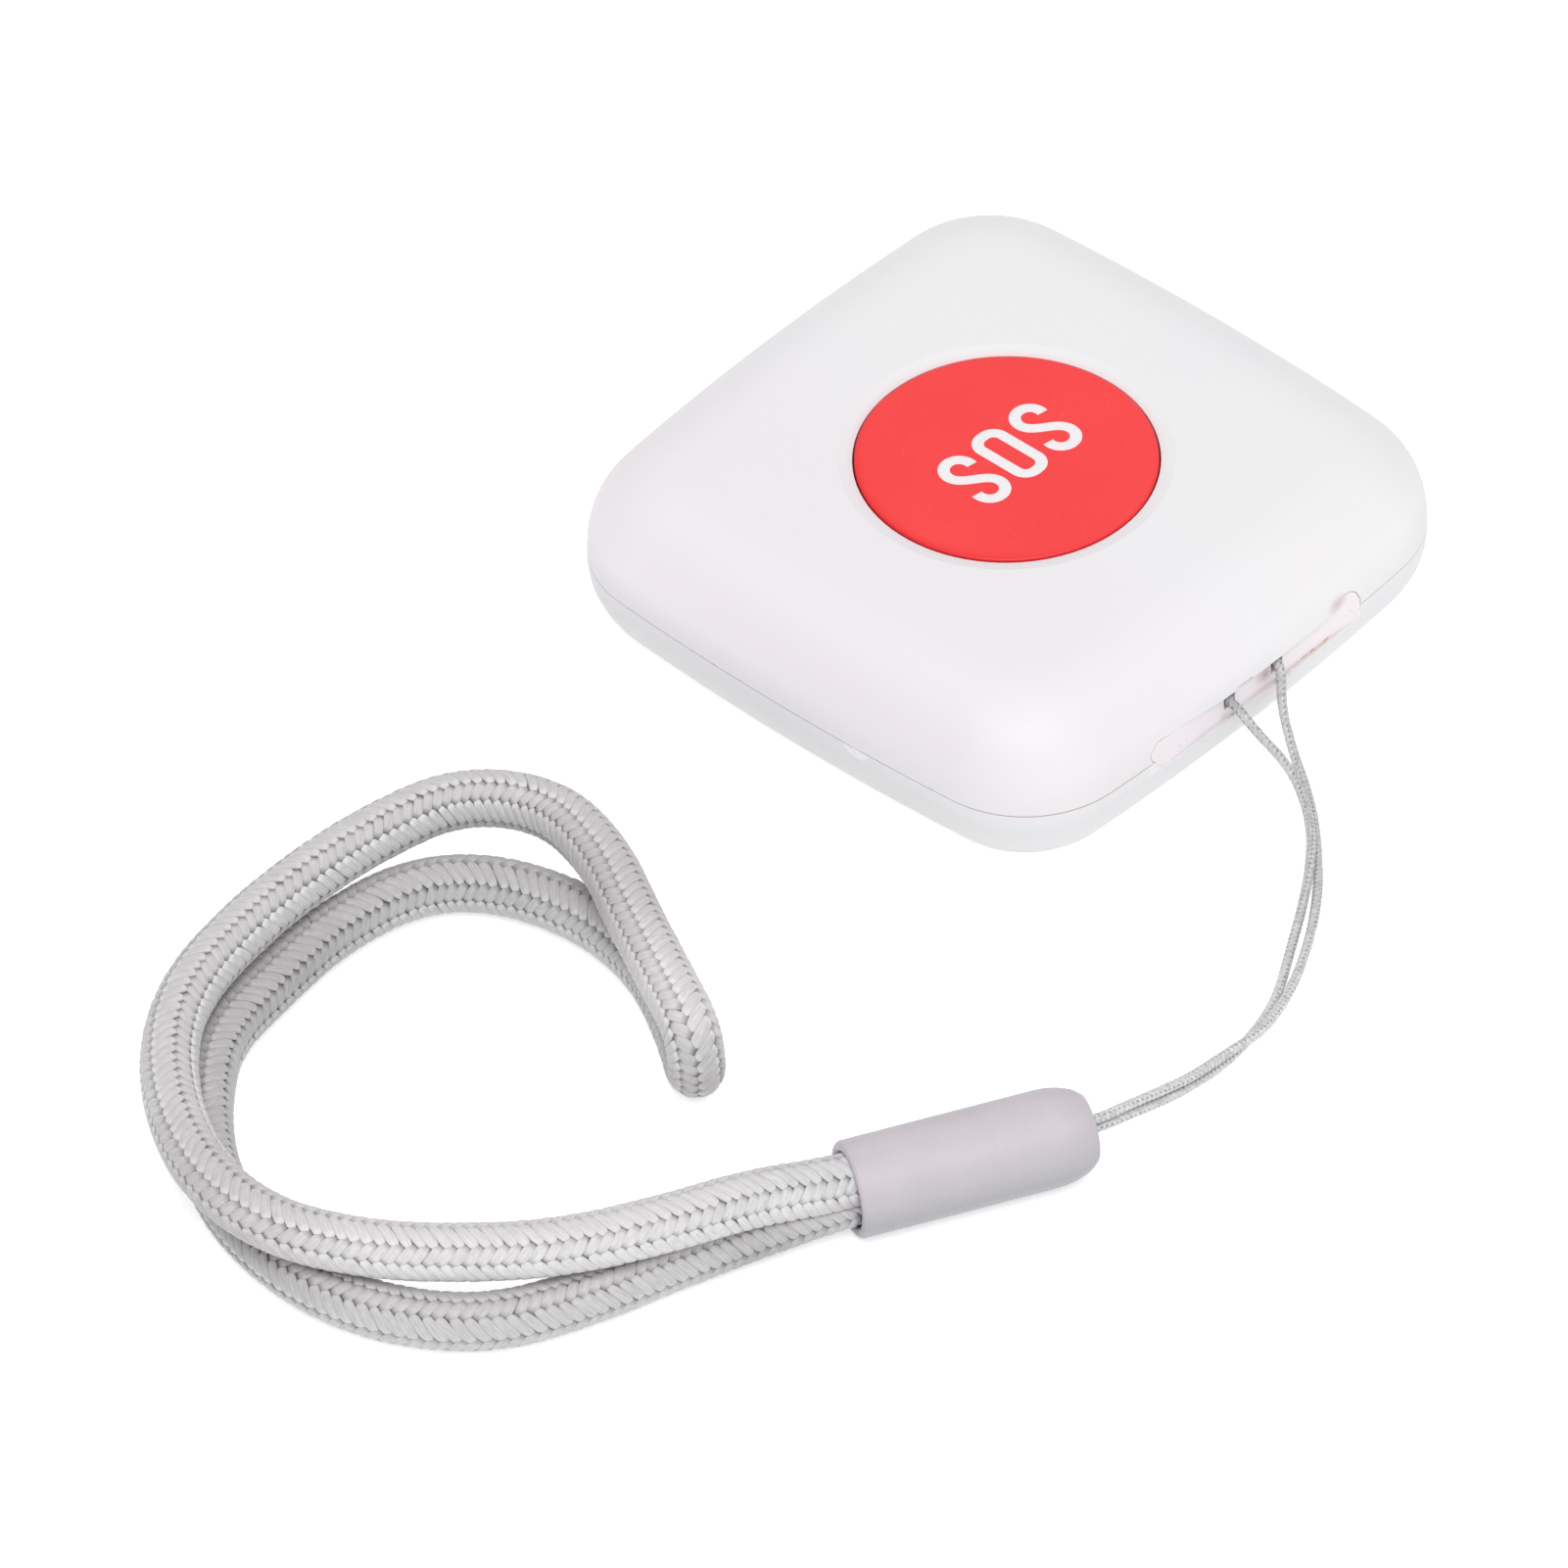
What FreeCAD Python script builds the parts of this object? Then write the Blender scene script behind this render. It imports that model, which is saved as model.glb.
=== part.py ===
import FreeCAD, Part
import math, os
from FreeCAD import Vector as V

# Wireless panic button with a wrist strap. Millimetres, +Z up.
# Origin: centre of the underside of the case. +X runs along the legend's reading
# direction, +Y to the top of the legend, and the strap leaves through the -Y side.

os.makedirs("parts", exist_ok=True)

# ---------------------------------------------------------------- driving dimensions
SIDE_BULGE = 0.8        # the four sides are slightly bowed outward
SIDE_R = 256.0          # radius of each bowed side
A_FULL = 28.0           # half width at the corners' end of a side, at the parting line
A_TOP = 19.0            # the same at the flat top
Z_PART = 6.6            # parting line of the two shells
Z_WAIST = 6.54          # height of the widest section
Z_TOP = 15.3            # flat top face
RC_WAIST = 10.14        # corner radius at the waist
JOINT_GAP = 0.08        # open line between the shells
WALL = 1.6
FLOOR = 1.5
CEILING_Z = 13.5

BUTTON_HOLE_R = 13.05
DISH_R = 14.3
DISH_Z = 14.95
BUTTON_R = 12.9
BUTTON_TOP = 15.15
BUTTON_EDGE = 0.22
BUTTON_FLANGE_R = 14.0
BUTTON_FLANGE_Z = (12.55, 13.42)
PUSHER_R = 2.2
PUSHER_Z = 12.42
PRESS_TRAVEL = 0.5

# lanyard recess in the -Y side, outline in x, z; the finger-nail notch is round and stands over its end
RECESS = [(-12.3, 5.42), (11.9, 5.35), (12.85, 6.3), (12.85, 7.4), (12.2, 8.05), (-5.2, 8.05),
          (-9.0, 8.5), (-13.1, 8.6), (-14.0, 7.75), (-13.75, 6.9)]
RECESS_TOP = 8.05
RECESS_FLOOR_Y = -28.4
RECESS_END_R = 0.45
BAR_Z = 7.87                # top of the bar that the loop cord runs round
WINDOW_L = (-4.6, -3.2)    # the two holes that the loop cord runs through
WINDOW_R = (1.4, 2.85)
WINDOW_Z = 6.45
NOTCH = (10.9, 7.25, 1.75)  # finger-nail notch: x, z, radius
NOTCH_BACK_Y = -27.2
SLIT_X = (-3.1, -1.35)      # small moulding gap over the bar

BOARD_HALF = 22.0
BOARD_Z = (6.4, 7.4)
SCREW_AT = 18.5

CELL_R = 10.0
CELL_T = 3.2
CELL_Y = 4.0
CELL_Z = 2.0

SLEEVE_D = 8.4
SLEEVE_MOUTH = V(-67.54, -42.10, 4.2)
SLEEVE_NOSE = V(-48.56, -52.22, 4.2)
SLEEVE_BORE_R = 3.3
SLEEVE_BORE_DEPTH = 14.0
SLEEVE_HOLE_R = 1.25

STRAP_D = 5.0
SQUEEZE_GAP = 0.04     # the two flattened strands lie this close inside the sleeve
LOOP_D = 0.9

# Wrist strap: lower strand out from the sleeve and round to the tip of the fold.
STRAP_LOWER = [
    (-61.19, -45.49, 3.5), (-67.01, -42.38, 3.46), (-75.45, -38.05, 2.52), (-82.46, -35.66, 2.52),
    (-90.82, -32.96, 2.52), (-97.69, -29.38, 2.52), (-102.29, -22.7, 2.52), (-104.01, -15.03, 2.52),
    (-102.71, -6.27, 2.52), (-99.28, 0.54, 2.52), (-93.65, 6.48, 2.52), (-87.14, 10.99, 2.52),
    (-78.61, 12.15, 2.52), (-71.0, 12.85, 2.52), (-62.21, 11.27, 2.52), (-57.12, 5.88, 2.52),
    (-55.24, -2.72, 2.52), (-56.85, -10.44, 2.52), (-61.15, -17.3, 2.52), (-65.05, -23.17, 2.52),
]
# Upper strand, from the tip of the fold back into the sleeve.
STRAP_UPPER = [
    (-65.35, -22.82, 8.5), (-61.7, -16.85, 8.4), (-57.65, -9.51, 8.08), (-53.42, -2.53, 7.85),
    (-50.99, 5.62, 7.22), (-54.89, 12.78, 6.86), (-63.47, 14.95, 6.91), (-71.35, 15.56, 6.9),
    (-79.24, 15.24, 6.89), (-87.78, 13.55, 7.02), (-94.42, 9.7, 6.98), (-100.25, 3.33, 7.16),
    (-104.28, -4.34, 7.61), (-104.69, -12.09, 7.56), (-101.2, -19.81, 7.48), (-96.04, -26.28, 7.51),
    (-90.38, -31.58, 7.5), (-82.87, -35.84, 7.44), (-75.3, -38.31, 6.47), (-67.01, -42.38, 4.94),
    (-61.19, -45.49, 4.9),
]
# Thin cord: out of the sleeve's nose, through the case and back into the nose.
LOOP = [
    (-55.79, -48.36, 3.62), (-52.0, -50.38, 3.58), (-48.12, -52.45, 3.62), (-44.24, -52.87, 3.14),
    (-40.61, -53.18, 2.42), (-36.95, -53.08, 1.69), (-33.3, -53.21, 0.94), (-29.68, -52.59, 0.56),
    (-26.01, -52.04, 0.5), (-22.61, -50.4, 0.5), (-19.43, -48.54, 0.5), (-16.3, -46.66, 0.5),
    (-13.14, -44.5, 0.5), (-10.2, -42.36, 0.5), (-7.26, -40.05, 0.52), (-4.55, -37.38, 1.05),
    (-2.78, -34.5, 2.5), (-4.33, -31.74, 5.89), (-4.0, -28.9, 7.25), (-4.0, -27.0, 7.25),
    (-2.9, -25.85, 7.25), (-0.8, -25.62, 7.25), (1.2, -25.85, 7.25), (2.25, -27.0, 7.25),
    (2.25, -28.9, 7.25), (0.5, -30.3, 4.68), (-0.76, -32.52, 1.23), (-2.76, -36.33, 0.76),
    (-5.1, -39.44, 0.5), (-8.07, -42.18, 0.5), (-11.05, -44.6, 0.5), (-14.16, -47.06, 0.5),
    (-17.4, -49.33, 0.5), (-20.87, -51.23, 0.58), (-24.44, -52.7, 0.99), (-28.34, -53.29, 1.45),
    (-32.32, -53.12, 1.81), (-36.12, -52.76, 2.54), (-40.0, -52.63, 3.21), (-43.64, -52.07, 4.15),
    (-48.12, -52.45, 4.78), (-52.0, -50.38, 4.82), (-55.79, -48.36, 4.78),
]


# ---------------------------------------------------------------- helpers
def save(shape, name):
    shape = shape.removeSplitter() if shape.ShapeType != "Compound" else shape
    ok = shape.isValid()
    b = shape.optimalBoundingBox(False)
    print("%-26s solids %d valid %s vol %9.2f  x %7.2f %7.2f y %7.2f %7.2f z %6.2f %6.2f" % (
        name, len(shape.Solids), ok, shape.Volume, b.XMin, b.XMax, b.YMin, b.YMax, b.ZMin, b.ZMax))
    shape.exportStep("parts/%s.step" % name)
    return shape


def outline(m, rc, z):
    """Rounded square with bowed sides: 4 side arcs and 4 corner arcs, all tangent."""
    k = SIDE_R - rc
    q = m - SIDE_R
    c = (q + math.sqrt(2 * k * k - q * q)) / 2.0
    tx, ty = SIDE_R * c / k, q + SIDE_R * (c - q) / k
    d = rc / math.sqrt(2.0)

    def turn(x, y, n):
        for _ in range(n):
            x, y = -y, x
        return V(x, y, z)
    edges = []
    for n in range(4):
        a, mid, b = turn(tx, ty, n), turn(0, m, n), turn(-tx, ty, n)
        edges.append(Part.Arc(a, mid, b).toShape())
        p, pm, p2 = turn(-tx, ty, n), turn(-c - d, c + d, n), turn(-ty, tx, n)
        edges.append(Part.Arc(p, pm, p2).toShape())
    return Part.Wire(edges)


def prism(m, rc, z0, z1):
    f = Part.Face(outline(m, rc, z0))
    return f.extrude(V(0, 0, z1 - z0))


def box(x0, x1, y0, y1, z0, z1):
    return Part.makeBox(x1 - x0, y1 - y0, z1 - z0, V(x0, y0, z0))


def cyl(r, z0, z1, x=0.0, y=0.0):
    return Part.makeCylinder(r, z1 - z0, V(x, y, z0))


def round_box(x0, x1, y0, y1, z0, z1, r):
    b = box(x0, x1, y0, y1, z0, z1)
    up = [e for e in b.Edges if abs(e.tangentAt(e.FirstParameter).z) > 0.99]
    return b.makeFillet(r, up)


def path_edges(pts, label, split=None):
    """Straight runs joined by tangent arcs; each arc as large as its two runs allow.
    With split, the straight run after that point is parted in its middle, into two paths."""
    p = [V(*q) for q in pts]
    paths, edges, start, radii = [], [], p[0], []
    for i in range(1, len(p) - 1):
        a, b = p[i - 1] - p[i], p[i + 1] - p[i]
        la, lb = a.Length, b.Length
        a.normalize()
        b.normalize()
        turn = math.pi - a.getAngle(b)
        t = 0.45 * min(la, lb)
        r = t / math.tan(turn / 2.0)
        radii.append(r)
        s, e = p[i] + a * t, p[i] + b * t
        w = a + b
        w.normalize()
        mid = p[i] + w * (r / math.cos(turn / 2.0) - r)
        if split is not None and i == split + 1:
            half = (start + s) * 0.5
            edges.append(Part.LineSegment(start, half).toShape())
            paths.append(edges)
            edges, start = [], half
        edges.append(Part.LineSegment(start, s).toShape())
        edges.append(Part.Arc(s, mid, e).toShape())
        start = e
    edges.append(Part.LineSegment(start, p[-1]).toShape())
    paths.append(edges)
    wires = [Part.Wire(e) for e in paths]
    print(label, "length %.2f" % sum(w.Length for w in wires), "radii", " ".join("%.1f" % r for r in radii))
    return wires


def tube(w, d):
    e = w.Edges[0]
    p0 = e.valueAt(e.FirstParameter)
    ring = Part.Wire([Part.makeCircle(d / 2.0, p0, e.tangentAt(e.FirstParameter))])
    s = w.makePipeShell([ring], True, True)
    s = Part.Solid(s.Shells[0]) if s.ShapeType != "Solid" else s
    if s.Volume < 0:
        s.reverse()
    print("   volume %.2f, section x length %.2f" % (s.Volume, math.pi * d * d / 4.0 * w.Length))
    return s


# ---------------------------------------------------------------- case, outer forms
def upper_section(th):
    s, c = math.sin(math.radians(th)), math.cos(math.radians(th))
    a = A_TOP + (A_FULL - A_TOP) * max(c, 0.0) ** (2 / 2.6)
    z = Z_WAIST + (Z_TOP - Z_WAIST) * s ** (2 / 2.35)
    return a, z, RC_WAIST - 0.68 * (A_FULL - a)


def inner_section(th):
    s, c = math.sin(math.radians(th)), math.cos(math.radians(th))
    a = A_TOP - WALL + (A_FULL - A_TOP) * max(c, 0.0) ** (2 / 2.6)
    z = Z_WAIST + (CEILING_Z - Z_WAIST) * s ** (2 / 2.35)
    return a, z, 8.5 - 0.68 * (A_FULL - WALL - a)


wires = [outline(A_FULL + SIDE_BULGE, RC_WAIST, Z_PART + JOINT_GAP / 2)]
for th in (12, 25, 38, 50, 62, 73, 82, 90):
    a, z, rc = upper_section(th)
    wires.append(outline(a + SIDE_BULGE, rc, z))
upper_outer = Part.makeLoft(wires, True, False)

wires = []
for th in (12, 25, 38, 50, 62, 73, 82, 90):
    a, z, rc = inner_section(th)
    wires.append(outline(a + SIDE_BULGE, rc, z))
upper_inner = Part.makeLoft(wires, True, False)

low = [(0.0, 24.9), (0.25, 25.45), (0.8, 25.95), (2.0, 26.72), (4.0, 27.6), (5.5, 27.93),
       (Z_PART - JOINT_GAP / 2, 28.0)]
wires = [outline(a + SIDE_BULGE, 10.14 - 2.57 * max(0.0, 1 - z / Z_WAIST) ** 1.3, z) for z, a in low]
foot = Part.makeLoft(wires[:3], True, True)
belly = Part.makeLoft(wires[2:], True, False)
lower_outer = foot.fuse(belly).removeSplitter()

low_in = [(1.5, 24.6), (3.0, 25.3), (4.5, 25.9), (6.0, 26.15), (9.0, 26.2)]
lower_cavity = Part.makeLoft([outline(m, 7.5, z) for z, m in low_in], True, True)



def recess_solid(inset, y0, y1):
    """The recess with its notch as a solid from y0 to y1, its outline drawn in by inset."""
    w = Part.makePolygon([V(x, y0, z) for x, z in RECESS + RECESS[:1]])
    if inset:
        w = w.makeOffset2D(-inset)
        if w.BoundBox.XLength > 26.85:
            raise ValueError("the outline grew")
    return Part.Face(w).extrude(V(0, y1 - y0, 0))


def round_ends(shape):
    along_y = [e for e in shape.Edges if abs(e.tangentAt(e.FirstParameter).y) > 0.99]
    return shape.makeFillet(RECESS_END_R, along_y)


def notch_solid(inset, y0, y1):
    return Part.makeCylinder(NOTCH[2] - inset, y1 - y0, V(NOTCH[0], y0, NOTCH[1]), V(0, 1, 0))


slit = box(SLIT_X[0], SLIT_X[1], -31.0, -26.5, RECESS_TOP - 0.1, RECESS_TOP + 0.25)

# ---------------------------------------------------------------- lower shell
lip = prism(27.1, 8.4, 5.5, 8.4)
pad = round_ends(recess_solid(0.06, RECESS_FLOOR_Y, -26.85)).fuse(notch_solid(0.06, RECESS_FLOOR_Y, NOTCH_BACK_Y - 0.06))
lower = lower_outer.fuse(lip).cut(lower_cavity)
lower = lower.cut(round_ends(recess_solid(0, -31.0, RECESS_FLOOR_Y)).fuse(notch_solid(0, -31.0, RECESS_FLOOR_Y))).fuse(pad)
# the lip steps down behind the loop cord, and the cord's pocket lies behind the bar
lower = lower.cut(box(-5.4, 3.8, -26.85, -24.0, 6.0, 9.0))
lower = lower.cut(box(-5.4, 3.8, -28.6, -26.0, BAR_Z, 9.0))
for x0, x1 in (WINDOW_L, WINDOW_R):
    lower = lower.cut(box(x0, x1, -29.0, -26.0, WINDOW_Z, 9.0))
# ring that centres the cell on the floor
lower = lower.fuse(cyl(9.0, 1.4, 1.95, 0, CELL_Y).cut(cyl(8.0, 1.0, 2.5, 0, CELL_Y)))
# snap beads on the lip, two on each of the three plain sides
BEADS = [(1, 12), (1, -12), (-1, 12), (-1, -12)]


def bead(z0, z1, out0, out1, half):
    s = None
    for sx, y in BEADS:
        b = box(out0, out1, y - half, y + half, z0, z1) if sx > 0 else box(-out1, -out0, y - half, y + half, z0, z1)
        s = b if s is None else s.fuse(b)
    for x in (-12, 12):
        s = s.fuse(box(x - half, x + half, out0, out1, z0, z1))
    return s


lower = lower.fuse(bead(7.2, 7.8, 26.4, 27.38, 4.0))
# shallow half-round mark below the parting line on the -X side
mark = Part.makeCylinder(0.6, 1.0, V(-29.6, -8.3, 6.56), V(1, 0, 0)).cut(box(-28.62, -26, -10, -6, 5, 8))
lower = lower.cut(mark)
lower_shell = lower

# ---------------------------------------------------------------- upper shell
upper = upper_outer.cut(prism(27.3, 8.6, 6.0, 8.5))      # pocket for the lip, 0.2 mm free
upper = upper.cut(upper_inner)
upper = upper.cut(cyl(BUTTON_HOLE_R, 12.0, 16.0))
dish = Part.makeCone(BUTTON_HOLE_R, DISH_R + (DISH_R - BUTTON_HOLE_R) * 0.2 / (Z_TOP - DISH_Z),
                     (Z_TOP - DISH_Z) + 0.2, V(0, 0, DISH_Z))
upper = upper.cut(dish)
upper = upper.cut(round_ends(recess_solid(0, -31.0, -26.0))).cut(notch_solid(0, -31.0, NOTCH_BACK_Y)).cut(slit)
upper = upper.cut(bead(7.1, 7.9, 26.0, 27.55, 4.2))
for sx in (-1, 1):
    for sy in (-1, 1):
        x, y = sx * SCREW_AT, sy * SCREW_AT
        upper = upper.fuse(cyl(2.2, BOARD_Z[1], CEILING_Z + 0.6, x, y).common(upper_outer))
for sx in (-1, 1):
    for sy in (-1, 1):
        upper = upper.cut(cyl(0.9, 7.0, 11.4, sx * SCREW_AT, sy * SCREW_AT))
upper_shell = upper

# ---------------------------------------------------------------- button
cap = cyl(BUTTON_R, BUTTON_FLANGE_Z[0], BUTTON_TOP)
top_edge = [e for e in cap.Edges if abs(e.BoundBox.ZMin - BUTTON_TOP) < 1e-6 and e.BoundBox.ZLength < 1e-6]
cap = cap.makeFillet(BUTTON_EDGE, top_edge)
cap = cap.fuse(cyl(BUTTON_FLANGE_R, *BUTTON_FLANGE_Z))
cap = cap.cut(cyl(BUTTON_R - 1.2, 12.0, BUTTON_TOP - 1.5))
cap = cap.fuse(cyl(PUSHER_R, PUSHER_Z, BUTTON_TOP - 1.4))
button_cap = cap.removeSplitter()

# ---------------------------------------------------------------- circuit board and screws
board = round_box(-BOARD_HALF, BOARD_HALF, -BOARD_HALF, BOARD_HALF, BOARD_Z[0], BOARD_Z[1], 3.0)
for sx in (-1, 1):
    for sy in (-1, 1):
        board = board.cut(cyl(1.1, 6, 8, sx * SCREW_AT, sy * SCREW_AT))
circuit_board = board

screws = []
for sx in (-1, 1):
    for sy in (-1, 1):
        x, y = sx * SCREW_AT, sy * SCREW_AT
        s = cyl(1.8, BOARD_Z[0] - 1.2, BOARD_Z[0], x, y)
        s = s.fuse(cyl(0.9, BOARD_Z[0] - 0.1, 10.6, x, y))
        s = s.cut(box(x - 1.1, x + 1.1, y - 0.2, y + 0.2, 5.0, 5.75))
        s = s.cut(box(x - 0.2, x + 0.2, y - 1.1, y + 1.1, 5.0, 5.75))
        screws.append(s.removeSplitter())
board_screws = Part.makeCompound(screws)

# ---------------------------------------------------------------- switch under the button
sb = box(-3, 3, -3, 3, 7.4, 10.9)
sb = sb.cut(cyl(2.3, 9.9, 11.2))
for x in (-3, 3):
    for y in (-2.25, 2.25):
        sb = sb.fuse(box(min(x, x * 1.3), max(x, x * 1.3), y - 0.35, y + 0.35, 7.4, 7.6))
switch_base = sb
dome = Part.makeSphere(5.4, V(0, 0, 5.2)).cut(Part.makeSphere(5.28, V(0, 0, 5.2)))
dome = dome.common(cyl(2.2, 9.9, 11.0))
zb = dome.BoundBox.ZMin
dome.translate(V(0, 0, 9.92 - zb))
switch_dome = dome
cover = box(-3, 3, -3, 3, 10.9, 11.1).cut(cyl(2.0, 10, 12))
for sx in (-1, 1):
    cover = cover.fuse(box(min(sx * 3.0, sx * 3.15), max(sx * 3.0, sx * 3.15), -1.0, 1.0, 9.2, 11.1))
switch_cover = cover
plunger = cyl(1.75, 10.6, 12.40).fuse(cyl(2.12, 10.6, 10.84))     # flange held under the cover
plunger = plunger.removeSplitter()
top_edge = [e for e in plunger.Edges if abs(e.BoundBox.ZMin - 12.40) < 1e-6 and e.BoundBox.ZLength < 1e-6]
switch_plunger = plunger.makeFillet(0.2, top_edge)

# ---------------------------------------------------------------- battery
cell = cyl(CELL_R, CELL_Z + 0.25, CELL_Z + CELL_T, 0, CELL_Y).fuse(
    cyl(CELL_R - 1.2, CELL_Z, CELL_Z + 0.3, 0, CELL_Y))
edge = [e for e in cell.Edges if abs(e.BoundBox.ZMin - (CELL_Z + CELL_T)) < 1e-6 and e.BoundBox.ZLength < 1e-6]
battery_cell = cell.makeFillet(0.3, edge)
holder = cyl(11.6, 2.6, BOARD_Z[0], 0, CELL_Y).cut(cyl(10.2, 2.0, 5.4, 0, CELL_Y))
holder = holder.cut(box(-3.2, 3.2, CELL_Y - 12.5, CELL_Y - 9.6, 2.0, 5.4))      # finger gap
holder = holder.cut(box(-2.2, 2.2, CELL_Y + 9.6, CELL_Y + 12.5, 2.0, 5.9))      # gap for the rim clip
holder = holder.cut(box(-2.0, 2.0, CELL_Y - 7.2, CELL_Y + 7.2, 5.0, 5.55))      # seat of the leaf
battery_holder = holder
leaf = box(-1.6, 1.6, CELL_Y - 6.8, CELL_Y + 6.8, 5.38, 5.53)
leaf = leaf.fuse(cyl(1.2, 5.2, 5.4, 0, CELL_Y - 3.0)).fuse(cyl(1.2, 5.2, 5.4, 0, CELL_Y + 3.0))
battery_contact_negative = leaf
clip = box(-1.9, 1.9, CELL_Y + 10.0, CELL_Y + 10.3, 2.9, 5.85)
clip = clip.fuse(box(-1.9, 1.9, CELL_Y + 10.0, CELL_Y + 12.6, 5.6, 5.85))
clip = clip.fuse(box(-1.9, 1.9, CELL_Y + 12.3, CELL_Y + 12.6, 5.6, 6.4))
battery_contact_positive = clip

# ---------------------------------------------------------------- parts on the board
radio_chip = box(-14.5, -9.5, 6.5, 11.5, 7.4, 8.3)
crystal = box(-8.4, -6.4, 8.0, 10.5, 7.4, 8.1)
can = round_box(-17.0, -5.0, 4.6, 14.6, 7.4, 9.4, 0.6).cut(round_box(-16.8, -5.2, 4.8, 14.4, 7.0, 9.2, 0.5))
radio_shield = can
antenna = box(-13.0, -9.8, 19.2, 20.8, 7.4, 8.5)
led = box(-0.8, 0.8, 17.6, 18.4, 7.4, 7.7).fuse(box(-0.55, 0.55, 17.6, 18.4, 7.7, 8.0))
status_led = led
caps = [box(x, x + 1.6, y, y + 0.8, 7.4, 8.2) for x, y in
        ((-3.6, 9.0), (-3.6, 11.0), (-3.6, 13.0), (6.0, 8.0), (6.0, 10.0), (-12.0, 2.6))]
capacitors = Part.makeCompound(caps)
res = [box(x, x + 0.8, y, y + 1.6, 7.4, 7.85) for x, y in
       ((10.0, 8.0), (12.0, 8.0), (14.0, 8.0), (2.6, 16.6), (-16.0, 1.8))]
resistors = Part.makeCompound(res)
inductor = round_box(9.6, 12.6, 12.0, 15.0, 7.4, 9.0, 0.5)

# ---------------------------------------------------------------- pairing switch on the underside
px, py = 15.2, -12.0
pairing_switch = box(px - 2.6, px + 2.6, py - 2.6, py + 2.6, 4.9, 6.4).cut(cyl(1.0, 4.5, 5.9, px, py))
pairing_plunger = cyl(0.95, 4.2, 5.4, px, py)

# ---------------------------------------------------------------- sleeve on the cord
axis = SLEEVE_NOSE - SLEEVE_MOUTH
L = axis.Length
axis.normalize()
side = V(0, 0, 1).cross(axis)
R = SLEEVE_D / 2.0


def along(t, r):
    """A point of the sleeve's half section: t along the axis from the mouth, r out."""
    return SLEEVE_MOUTH + axis * t + V(0, 0, 1) * r


LIP = 0.35
LE = L - 0.2     # the nose tapers like a soft bevel and ends flat
ell = [(LE - 3.9 + 3.9 * math.sin(math.radians(q)), 2.8 + (R - 2.8) * max(0.0, math.cos(math.radians(q))) ** 1.3)
       for q in (0, 15, 30, 45, 60, 75, 90)]
nose = Part.BSplineCurve()
nose.interpolate([along(t, r) for t, r in ell], InitialTangent=axis, FinalTangent=V(0, 0, -1))
pts = [along(LE, 2.8), along(LE, SLEEVE_HOLE_R), along(SLEEVE_BORE_DEPTH, SLEEVE_HOLE_R),
       along(SLEEVE_BORE_DEPTH, SLEEVE_BORE_R), along(LIP, SLEEVE_BORE_R)]
edges = [nose.toShape()] + [Part.LineSegment(pts[i], pts[i + 1]).toShape() for i in range(4)]
h = LIP * (1 - math.sqrt(0.5))
edges.append(Part.Arc(along(LIP, SLEEVE_BORE_R), along(h, SLEEVE_BORE_R + h), along(0, SLEEVE_BORE_R + LIP)).toShape())
# the outer lip is a little rounder than the inner one
O2 = R - SLEEVE_BORE_R - LIP - 0.05
edges.append(Part.LineSegment(along(0, SLEEVE_BORE_R + LIP), along(0, R - O2)).toShape())
k2 = O2 * (1 - math.sqrt(0.5))
edges.append(Part.Arc(along(0, R - O2), along(k2, R - k2), along(O2, R)).toShape())
edges.append(Part.LineSegment(along(O2, R), along(LE - 3.9, R)).toShape())
prof = Part.Face(Part.Wire(Part.__sortEdges__(edges)))
cord_sleeve = prof.revolve(SLEEVE_MOUTH, axis, 360)
if cord_sleeve.Volume < 0:
    cord_sleeve.reverse()

crimp = Part.makeCylinder(SLEEVE_BORE_R, 6.1, SLEEVE_MOUTH + axis * 7.4, axis).cut(
    Part.makeCylinder(1.5, 7.0, SLEEVE_MOUTH + axis * 7.0, axis))
sleeve_crimp = crimp

# ---------------------------------------------------------------- cords
# the strap is one rope; its path is swept in two halves that meet in the fold
lower_path, upper_path = path_edges(STRAP_LOWER + STRAP_UPPER, "wrist strap", len(STRAP_LOWER) - 1)
lower_tube, upper_tube = tube(lower_path, STRAP_D), tube(upper_path, STRAP_D)
loop_cord = tube(path_edges(LOOP, "loop cord")[0], LOOP_D)

# where the two strands are squeezed together on their way into the sleeve, each is
# flattened against the other on a common plane that follows the sleeve's axis
SQUEEZE = [(-92.0, 5.0), (-86.0, 4.98), (-80.0, 4.86), (-75.4, 4.5), (-71.0, 4.27), (-66.5, 4.2), (-55.0, 4.2)]


def squeeze_block(z_far, lift):
    """Solid between the separating line (moved by lift) and z_far, over the squeezed stretch."""
    p = [V(x, -60, z + lift) for x, z in SQUEEZE] + [V(SQUEEZE[-1][0], -60, z_far), V(SQUEEZE[0][0], -60, z_far)]
    f = Part.Face(Part.makePolygon(p + [p[0]]))
    return f.extrude(V(0, 34, 0))


lower_tube = lower_tube.cut(squeeze_block(14.0, -SQUEEZE_GAP / 2))
upper_tube = upper_tube.cut(squeeze_block(-4.0, SQUEEZE_GAP / 2))
wrist_strap = lower_tube.fuse(upper_tube)

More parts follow.
